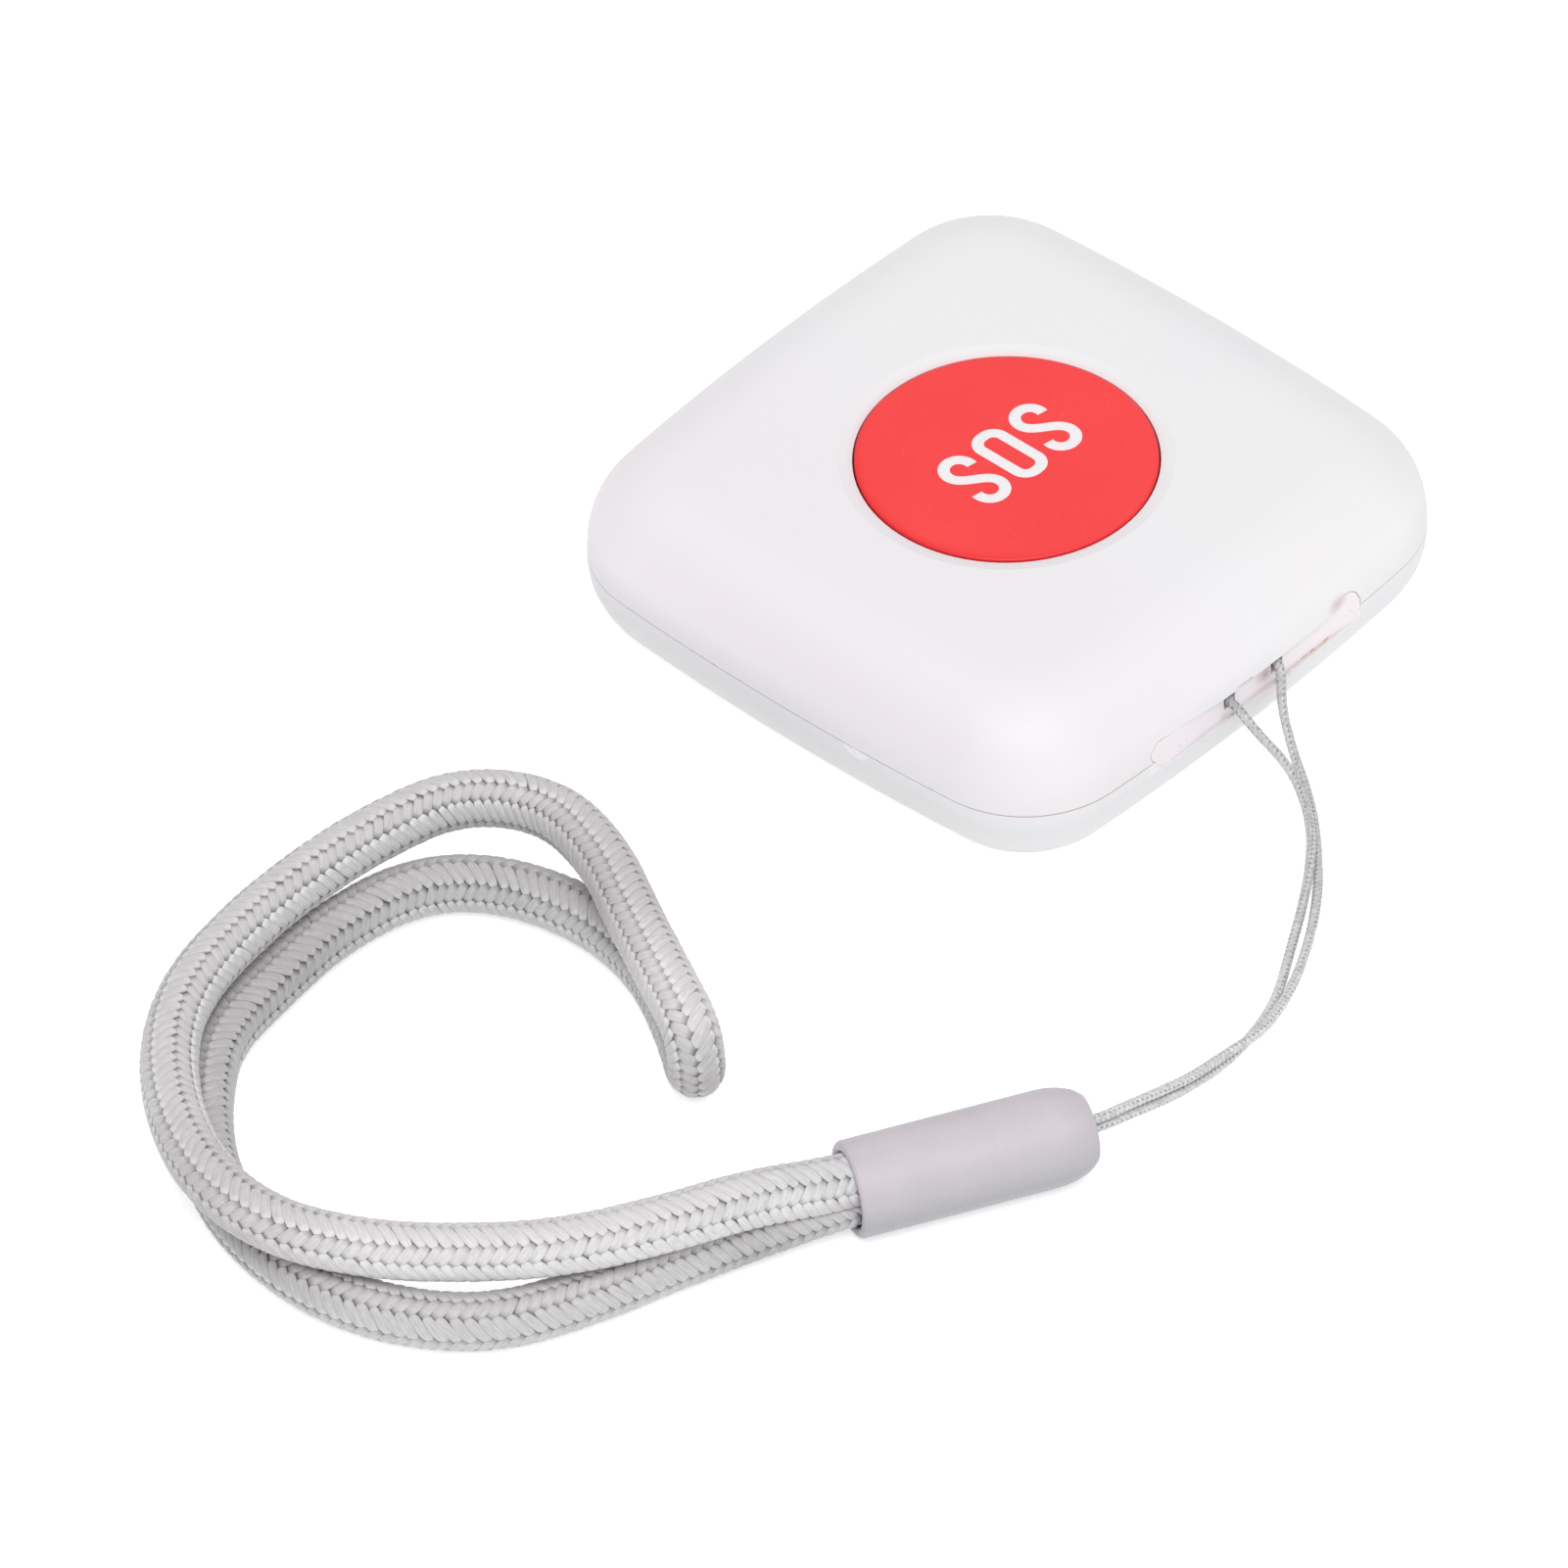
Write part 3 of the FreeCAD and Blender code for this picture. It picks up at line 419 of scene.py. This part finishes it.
# ------------------------------------------------------------------ cords
STRAP = [
    (-61.19, -45.49, 3.5), (-67.01, -42.38, 3.46), (-75.45, -38.05, 2.52), (-82.46, -35.66, 2.52),
    (-90.82, -32.96, 2.52), (-97.69, -29.38, 2.52), (-102.29, -22.7, 2.52), (-104.01, -15.03, 2.52),
    (-102.71, -6.27, 2.52), (-99.28, 0.54, 2.52), (-93.65, 6.48, 2.52), (-87.14, 10.99, 2.52), (-78.61, 12.15, 2.52),
    (-71, 12.85, 2.52), (-62.21, 11.27, 2.52), (-57.12, 5.88, 2.52), (-55.24, -2.72, 2.52), (-56.65, -10.66, 2.52),
    (-60.72, -17.78, 2.52), (-64.5, -22.7, 2.52), (-64.9, -22.75, 8.5), (-61.7, -16.85, 8.4), (-57.65, -9.51, 8.08),
    (-53.42, -2.53, 7.85), (-50.99, 5.62, 7.22), (-54.89, 12.78, 6.86), (-63.47, 14.95, 6.91), (-71.35, 15.56, 6.9),
    (-79.24, 15.24, 6.89), (-87.78, 13.55, 7.02), (-94.42, 9.7, 6.98), (-100.25, 3.33, 7.16), (-104.28, -4.34, 7.61),
    (-104.69, -12.09, 7.56), (-101.2, -19.81, 7.48), (-96.04, -26.28, 7.51), (-90.38, -31.58, 7.5),
    (-82.87, -35.84, 7.44), (-75.3, -38.31, 6.47), (-67.01, -42.38, 4.94), (-61.19, -45.49, 4.9),
]
LOOP = [
    (-55.79, -48.36, 3.7), (-52, -50.38, 3.75), (-48.12, -52.45, 3.85), (-44.3, -52.92, 3.14), (-40.79, -53.33, 2.42),
    (-37.35, -53.43, 1.69), (-33.3, -53.21, 0.94), (-29.68, -52.59, 0.58), (-26.13, -51.83, 0.48),
    (-22.56, -50.31, 0.48), (-19.39, -48.45, 0.48), (-16.22, -46.59, 0.48), (-13.1, -44.72, 0.6),
    (-10.32, -42.94, 1.02), (-7.54, -40.79, 1.38), (-4.69, -37.72, 1.35), (-2.81, -34.14, 2.3), (-4.33, -31.74, 5.89),
    (-4, -28.9, 7.25), (-4, -27, 7.25), (-2.9, -25.85, 7.25), (-0.8, -25.62, 7.25), (1.2, -25.85, 7.25),
    (2.25, -27, 7.25), (2.25, -28.9, 7.25), (0.5, -30.3, 4.68), (-0.54, -32.65, 1.15), (-2.49, -35.77, 0.55),
    (-5.02, -38.82, 0.48), (-8.1, -41.93, 0.48), (-10.99, -44.5, 0.48), (-14.22, -46.86, 0.48),
    (-17.58, -48.87, 0.48), (-20.98, -50.65, 0.48), (-24.29, -51.99, 0.8), (-28.34, -53.29, 1.45),
    (-32.32, -53.12, 1.81), (-36.99, -53.53, 2.75), (-40.66, -53.22, 3.45), (-44.49, -52.8, 4.25),
    (-48.12, -52.45, 4.9), (-52, -50.38, 4.85), (-55.79, -48.36, 4.8),
]


def route(points, name):
    """The points of the smooth line through a route, in mm, with their distance along it."""
    cu = bpy.data.curves.new(name, "CURVE")
    cu.dimensions = "3D"
    cu.resolution_u = 48
    sp = cu.splines.new("NURBS")
    sp.points.add(len(points) - 1)
    for q, p in zip(sp.points, points):
        q.co = (p[0] * MM, p[1] * MM, p[2] * MM, 1.0)
    sp.order_u = 3
    sp.use_endpoint_u = True
    ob = bpy.data.objects.new(name, cu)
    scene.collection.objects.link(ob)
    bpy.context.view_layer.update()
    me = bpy.data.meshes.new_from_object(ob.evaluated_get(bpy.context.evaluated_depsgraph_get()))
    p = np.array([v.co for v in me.vertices]) / MM
    keep = np.r_[True, np.linalg.norm(np.diff(p, axis=0), axis=1) > 1e-6]
    p = p[keep]
    bpy.data.objects.remove(ob)
    bpy.data.meshes.remove(me)
    return p, np.r_[0, np.cumsum(np.linalg.norm(np.diff(p, axis=0), axis=1))]


def along(p, L, s):
    """Points of the line p at distances s."""
    return np.stack([np.interp(s, L, p[:, k]) for k in range(3)], 1)


def frames(q):
    """Tangent and two normals for each point, turned as little as possible along the line."""
    t = np.gradient(q, axis=0)
    t /= np.linalg.norm(t, axis=1)[:, None]
    n = np.zeros_like(t)
    n[0] = np.cross(t[0], (0.0, 0.0, 1.0))
    n[0] /= np.linalg.norm(n[0])
    for i in range(1, len(q)):
        v = n[i - 1] - t[i] * (n[i - 1] @ t[i])
        n[i] = v / np.linalg.norm(v)
    return t, n, np.cross(t, n)


class Line:
    """A cord's centreline, with frames that can be read at any distance."""

    def __init__(self, points, name, step):
        p, L = route(points, name)
        self.length = float(L[-1])
        self.s = np.linspace(0, self.length, int(self.length / step) + 1)
        self.q = along(p, L, self.s)
        self.t, self.n, self.b = frames(self.q)

    def at(self, s):
        s = np.clip(s, 0, self.length)
        f = lambda a: np.stack([np.interp(s, self.s, a[:, k]) for k in range(3)], -1)
        return f(self.q), f(self.t), f(self.n), f(self.b)


SQUEEZE_X = np.array([-92.0, -86.0, -80.0, -75.4, -71.0, -66.5, -55.0])
SQUEEZE_Z = np.array([5.0, 4.98, 4.86, 4.5, 4.27, 4.2, 4.2])


def squeeze(P, s, total, r_out):
    """Towards the sleeve the two strands flatten against each other and become narrower in height."""
    P = P.copy()
    for lower in (True, False):
        d = s if lower else total - s
        m = d < 36.0
        if not m.any():
            continue
        zs = np.interp(P[m, 0], SQUEEZE_X, SQUEEZE_Z)
        near = (P[m, 1] < -24.0)
        z = P[m, 2]
        lim = zs - 0.03 if lower else zs + 0.03
        z2 = np.minimum(z, lim) if lower else np.maximum(z, lim)
        P[m, 2] = np.where(near, z2, z)
    return P


ROPE = Line(STRAP, "strap_route", 0.25)
CORD = Line(LOOP, "loop_route", 0.08)


class Braid:
    """A round braid on a line: columns of slanting stitches in a herringbone, on a dark core that stands in for the
    shade between them.
    """

    def __init__(self, line, radius, columns, pitch, half_w, thick, slant, core, squeezed, turn=0.0):
        self.line, self.r, self.n, self.pitch = line, radius, columns, pitch
        self.half_w, self.thick, self.slant = half_w, thick, math.radians(slant)
        self.core_r, self.squeezed, self.turn = core, squeezed, turn
        # measure along the cord that runs faster in a tight bend, so that the stitches on its outside stay short
        bend = np.linalg.norm(np.gradient(line.t, line.s, axis=0), axis=1) * radius
        rate = 1.0 + 0.75 * np.clip(bend - 0.2, 0.0, 1.0)
        rate = np.convolve(np.pad(rate, 6, "edge"), np.ones(13) / 13, "valid")
        self.w = np.concatenate([[0.0], np.cumsum((rate[1:] + rate[:-1]) / 2 * np.diff(line.s))])
        self.length = float(self.w[-1])

    def place(self, w, phi, r):
        s = np.interp(w, self.w, self.line.s)
        q, t, n, b = self.line.at(s)
        phi = phi + self.turn * s
        P = q + (n * np.cos(phi)[..., None] + b * np.sin(phi)[..., None]) * r[..., None]
        return squeeze(P, s, self.line.length, self.r) if self.squeezed else P

    def core(self, step, nph):
        ns = int(self.length / step)
        s = np.linspace(0, self.length, ns)
        S, PH = np.meshgrid(s, np.arange(nph) * 2 * math.pi / nph, indexing="ij")
        P = self.place(S.ravel(), PH.ravel(), np.full(S.size, self.core_r))
        faces = []
        for i in range(ns - 1):
            for j in range(nph):
                a, b2 = i * nph + j, i * nph + (j + 1) % nph
                faces.append((a, b2, b2 + nph, a + nph))
        faces.append(tuple(range(nph))[::-1])
        faces.append(tuple((ns - 1) * nph + j for j in range(nph)))
        return P, faces

    def stitches(self, cols, seed, stations, wid, dip, ring, end, reach=1.22, flat=0.6, lift=0.0):
        """One slender flattened piece for each stitch. dip lowers its ends; end is 1 for ends that lie over
        the next column and -1 for ends that dive under it."""
        rs = np.random.RandomState(seed)
        stations, wid, dip = np.array(stations), np.array(wid), np.array(dip)
        ring = np.radians(ring)
        col_w = 2 * math.pi * self.r / self.n
        half_l = col_w / 2 / math.sin(self.slant) * reach
        nst, nr = len(stations), len(ring)
        si, co = np.sin(ring), np.cos(ring)
        cross = np.sign(co) * np.abs(co) ** 0.72
        hump = np.sign(si) * np.abs(si) ** flat
        V = []
        for j in cols:
            sign = 1 if j % 2 == 0 else -1
            k0 = np.arange(int(self.length / self.pitch) - 1)
            for s_c in (k0 + 0.6 + (0.5 if j % 2 else 0.0)) * self.pitch:
                jl, jw, jh, ja = rs.uniform(-0.05, 0.05), rs.uniform(0.92, 1.08), rs.uniform(-0.06, 0.04), rs.uniform(-0.05, 0.05)
                a = self.slant + ja
                u = stations[:, None] * half_l
                v = cross[None] * wid[:, None] * self.half_w * jw
                ds = (u * math.cos(a) - v * math.sin(a)) * sign
                da = u * math.sin(a) + v * math.cos(a)
                # one long side of a stitch lies a little over its neighbour, the other under
                tilt = lift * self.thick * np.cos(ring)[None] * sign
                r = self.r - self.thick * (1.0 - hump[None] * wid[:, None] ** 0.4 - dip[:, None] - jh - tilt)
                V.append(np.stack([s_c + jl * self.pitch + ds, (j + 0.5) * 2 * math.pi / self.n + da / (self.r - self.thick * 0.25), r], -1).reshape(-1, 3))
        V = np.array(V)
        flatv = V.reshape(-1, 3)
        P = self.place(flatv[:, 0], flatv[:, 1], np.minimum(flatv[:, 2], self.r))
        quads, uvq, prq = [], [], []
        over = (ring - ring[0]) / (2 * math.pi)
        top = (math.pi / 2 - ring[0]) / (2 * math.pi)
        shade = 0.5 + (np.r_[over, over[0] + 1.0] - top)      # 0.5 on the crest of a stitch
        for i in range(nst - 1):
            for k in range(nr):
                k2 = (k + 1) % nr
                quads.append((i * nr + k, i * nr + k2, (i + 1) * nr + k2, (i + 1) * nr + k))
                u0, u1 = stations[i] * 0.5 + 0.5, stations[i + 1] * 0.5 + 0.5
                v0, v1 = k / nr, (k + 1) / nr
                uvq.append(((u0, v0), (u0, v1), (u1, v1), (u1, v0)))
                c0, c1 = shade[k], shade[k + 1]
                e0, e1 = end * abs(stations[i]), end * abs(stations[i + 1])
                prq.append(((e0, c0), (e0, c1), (e1, c1), (e1, c0)))
        faces, uv, prof = [], [], []
        npv = nst * nr
        shift = rs.uniform(0, 50, (len(V), 2))
        cap0, cap1 = tuple(range(nr))[::-1], tuple((nst - 1) * nr + k for k in range(nr))
        for i in range(len(V)):
            o = i * npv
            for q, w, pr in zip(quads, uvq, prq):
                faces.append(tuple(o + x for x in q))
                uv.extend((w_[0] + shift[i, 0], w_[1] + shift[i, 1]) for w_ in w)
                prof.extend(pr)
            for cap, u in ((cap0, 0.0), (cap1, 1.0)):
                faces.append(tuple(o + x for x in cap))
                uv.extend([(u + shift[i, 0], shift[i, 1])] * nr)
                prof.extend([(end, 0.0)] * nr)
        return P, faces, uv, prof


def braid_piece(name, core, yarn, mats):
    """Object of the core tube (if any) and the stitches."""
    yP, yF, yU, yQ = yarn
    if core is None:
        ob = new_mesh(name, yP * MM, yF, uvs=yU, prof=yQ)
        ob.data.materials.append(mats[1])
        return ob
    cP, cF = core
    n0, nc = len(cP), sum(len(f) for f in cF)
    ob = new_mesh(name, np.vstack([cP, yP]) * MM, cF + [tuple(n0 + x for x in f) for f in yF],
                  uvs=[(0.0, 0.0)] * nc + yU, prof=[(0.5, 0.5)] * nc + yQ)
    ob.data.materials.append(mats[0])
    ob.data.materials.append(mats[1])
    ob.data.polygons.foreach_set("material_index", [0] * len(cF) + [1] * len(yF))
    return ob


ST = [-1.0, -0.78, -0.45, 0.0, 0.45, 0.78, 1.0]
OVER = dict(wid=[0.56, 0.84, 0.98, 1.0, 0.98, 0.84, 0.56], dip=[-0.45, -0.06, 0.0, 0.0, 0.0, -0.06, -0.45], end=1.0, reach=1.16)
UNDER = dict(wid=[0.52, 0.82, 0.97, 1.0, 0.97, 0.82, 0.52], dip=[-1.20, -0.52, -0.10, 0.0, -0.10, -0.52, -1.20], end=-1.0, reach=1.08)
RING = [-20, 12, 32, 56, 90, 124, 148, 168, 200, 270]
strap_braid = Braid(ROPE, 2.5, 8, 1.06, 0.50, 0.32, 54.0, 2.08, True)
rope = braid_piece("wrist_rope", strap_braid.core(0.7, 24),
                   strap_braid.stitches(range(0, 8, 2), 7, ST, ring=RING, flat=0.42, lift=0.08, **OVER), (MAT_CORE_SHADE, MAT_ROPE))
rope2 = braid_piece("wrist_rope_yarns", None,
                    strap_braid.stitches(range(1, 8, 2), 11, ST, ring=RING, flat=0.42, lift=0.08, **UNDER), (MAT_CORE_SHADE, MAT_ROPE))
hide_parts("wrist_strap")
for o in (rope, rope2):
    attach(o, "case")

thin_braid = Braid(CORD, 0.45, 4, 0.52, 0.26, 0.13, 48.0, 0.34, False, turn=0.10)
T_ST, T_RING = [-1.0, -0.6, 0.0, 0.6, 1.0], [-20, 25, 65, 115, 155, 200]
over = thin_braid.stitches((0, 2), 5, T_ST, [0.50, 0.90, 1.0, 0.90, 0.50], [-0.45, -0.05, 0.0, -0.05, -0.45], T_RING, 1.0, reach=1.18, flat=0.5)
under = thin_braid.stitches((1, 3), 6, T_ST, [0.45, 0.88, 1.0, 0.88, 0.45], [-1.1, -0.28, 0.0, -0.28, -1.1], T_RING, -1.0, reach=1.10, flat=0.5)
n_over = len(over[0])
both = (np.vstack([over[0], under[0]]), over[1] + [tuple(n_over + i for i in f) for f in under[1]], over[2] + under[2], over[3] + under[3])
cord = braid_piece("thin_cord", thin_braid.core(0.25, 12), both, (MAT_CORD_CORE_SHADE, MAT_CORD))
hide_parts("loop_cord")
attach(cord, "case")


# ------------------------------------------------------------------ legend
def stroke(points, width, z0, z1):
    """A line of even width as a thin raised strip, closed below."""
    p = np.array(points, float)
    closed = np.linalg.norm(p[0] - p[-1]) < 1e-9
    if closed:
        p = p[:-1]
        t = np.roll(p, -1, 0) - np.roll(p, 1, 0)
    else:
        t = np.gradient(p, axis=0)
    t /= np.linalg.norm(t, axis=1)[:, None]
    n = np.stack([-t[:, 1], t[:, 0]], 1)
    a, b = p + n * width / 2, p - n * width / 2
    k = len(p)
    V = [(x, y, z1) for x, y in a] + [(x, y, z1) for x, y in b] + [(x, y, z0) for x, y in a] + [(x, y, z0) for x, y in b]
    F = []
    for i in range(k if closed else k - 1):
        j = (i + 1) % k
        F.append((i + k, j + k, j, i))
        F.append((i + 2 * k, j + 2 * k, j + 3 * k, i + 3 * k))
        F.append((i, j, j + 2 * k, i + 2 * k))
        F.append((j + k, i + k, i + 3 * k, j + 3 * k))
    if not closed:
        F.append((0, 2 * k, 3 * k, k))
        F.append((k - 1, 2 * k - 1, 4 * k - 1, 3 * k - 1))
    return V, F


def bezier(a, b, c, d, n):
    t = np.linspace(0, 1, n)[:, None]
    a, b, c, d = (np.array(v, float) for v in (a, b, c, d))
    return (1 - t) ** 3 * a + 3 * t * (1 - t) ** 2 * b + 3 * t * t * (1 - t) * c + t ** 3 * d


def letter_s(cx, cy, hw, hh):
    """hw, hh: half width and half height of the centreline."""
    th = np.radians(np.linspace(-15, 180, 24))
    top = np.stack([hw * np.cos(th), hh - hw + hw * np.sin(th)], 1)
    spine = bezier((-hw, hh - hw), (-hw, 0.2), (hw, -0.2), (hw, -(hh - hw)), 20)[1:-1]
    bottom = -top[::-1]
    return np.vstack([top, spine, bottom]) + (cx, cy)


def letter_o(cx, cy, hw, hh, r):
    th = np.radians(np.linspace(0, 90, 12))
    q = np.stack([hw - r + r * np.cos(th), hh - r + r * np.sin(th)], 1)
    p = np.vstack([q, q[::-1] * (-1, 1), -q, q[::-1] * (1, -1)])
    return np.vstack([p, p[:1]]) + (cx, cy)


STROKE = 1.03
CAP_H = 7.1
Z0, Z1 = 15.10, 15.165
V, F = [], []
for pts in (letter_s(-3.87, 0.2, (3.62 - STROKE) / 2, (CAP_H - STROKE) / 2),
            letter_o(0.54, 0.14, (3.62 - STROKE) / 2, (CAP_H + 0.08 - STROKE) / 2, 1.12),
            letter_s(5.0, 0.05, (3.6 - STROKE) / 2, (CAP_H - STROKE) / 2)):
    v, f = stroke(pts, STROKE, Z0, Z1)
    o = len(V)
    V += v
    F += [tuple(o + x for x in q) for q in f]
legend = new_mesh("legend", np.array(V) * MM, F, smooth=False)
legend.data.materials.append(MAT_INK)
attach(legend, "button")


# ------------------------------------------------------------------ CAD nodes that stay
def dress(name, mt):
    o = nodes[name]
    o.data.materials.clear()
    o.data.materials.append(mt)


dress("upper_shell", MAT_CASE)
dress("lower_shell", MAT_CASE)
dress("button_cap", MAT_RED)
dress("cord_sleeve", MAT_SLEEVE)
STEEL = plain_material("plated_steel", (0.62, 0.61, 0.59), (0.74, 0.73, 0.71), rough=0.3, metallic=1.0, scale=2.0, stretch=(1, 8, 1))
BLACK = plain_material("black_plastic", (0.02, 0.02, 0.022), (0.04, 0.04, 0.043), rough=0.5, scale=3.0)
GREEN = plain_material("solder_mask", (0.012, 0.11, 0.04), (0.02, 0.17, 0.065), rough=0.32, scale=0.6, coat=0.3)
for n in ("board_screws", "switch_dome", "switch_cover", "battery_cell", "battery_contact_positive",
          "battery_contact_negative", "radio_shield", "crystal"):
    dress(n, STEEL)
for n in ("switch_base", "switch_plunger", "battery_holder", "pairing_switch"):
    dress(n, BLACK)
dress("circuit_board", GREEN)
CHIP = plain_material("chip_epoxy", (0.03, 0.03, 0.032), (0.055, 0.055, 0.06), rough=0.6, scale=5.0)
for n in ("radio_chip", "resistors", "inductor"):
    dress(n, CHIP)
dress("capacitors", plain_material("tan_ceramic", (0.46, 0.33, 0.20), (0.56, 0.42, 0.27), rough=0.45, scale=3.0))
dress("antenna", plain_material("pale_ceramic", (0.68, 0.66, 0.60), (0.78, 0.76, 0.70), rough=0.45, scale=3.0))
dress("status_led", plain_material("led_resin", (0.80, 0.80, 0.70), (0.88, 0.88, 0.80), rough=0.2, scale=3.0))
dress("pairing_plunger", plain_material("grey_plastic", (0.38, 0.38, 0.39), (0.46, 0.46, 0.47), rough=0.5, scale=3.0))
dress("sleeve_crimp", plain_material("crimp_metal", (0.66, 0.66, 0.67), (0.76, 0.76, 0.77), rough=0.35, metallic=1.0, scale=2.0))
dress("wrist_strap", MAT_ROPE)
dress("loop_cord", MAT_CORD)


# ------------------------------------------------------------------ floor and light
floor_m, nt, b = material("floor_paper", rough=0.9, spec=0.1)
fp = coords(nt)
fn = noise(nt, fp, 0.5, 2.0, 0.5)
nt.links.new(ramp(nt, fn.outputs["Fac"], [(0.3, (0.935, 0.935, 0.935)), (0.7, (0.945, 0.945, 0.945))]).outputs["Color"], b.inputs["Base Color"])
b.inputs["Emission Color"].default_value = (1.0, 1.0, 1.0, 1.0)
b.inputs["Emission Strength"].default_value = 0.42
floor = new_mesh("floor", [(-3, -3, -0.0001), (3, -3, -0.0001), (3, 3, -0.0001), (-3, 3, -0.0001)], [(0, 1, 2, 3)])
floor.data.materials.append(floor_m)

world = bpy.data.worlds.new("studio")
scene.world = world
world.use_nodes = True
world.node_tree.nodes["Background"].inputs["Color"].default_value = (1.0, 1.0, 1.0, 1.0)
world.node_tree.nodes["Background"].inputs["Strength"].default_value = 0.60


def area(name, pos, target, size, power, color=(1, 1, 1)):
    li = bpy.data.lights.new(name, "AREA")
    li.shape = "SQUARE"
    li.size = size
    li.energy = power
    li.color = color
    o = bpy.data.objects.new(name, li)
    scene.collection.objects.link(o)
    o.location = pos
    o.rotation_euler = (Vector(target) - Vector(pos)).to_track_quat("-Z", "Y").to_euler()
    return o


area("key", (-0.48, -0.44, 1.13), (-0.03, -0.02, 0.0), 0.8, 11.4)
area("fill", (0.55, 0.45, 1.10), (-0.03, -0.02, 0.0), 1.0, 2.0)
scene.view_settings.view_transform = "Standard"
scene.view_settings.look = "None"
scene.view_settings.exposure = 0.0
scene.view_settings.gamma = 1.0
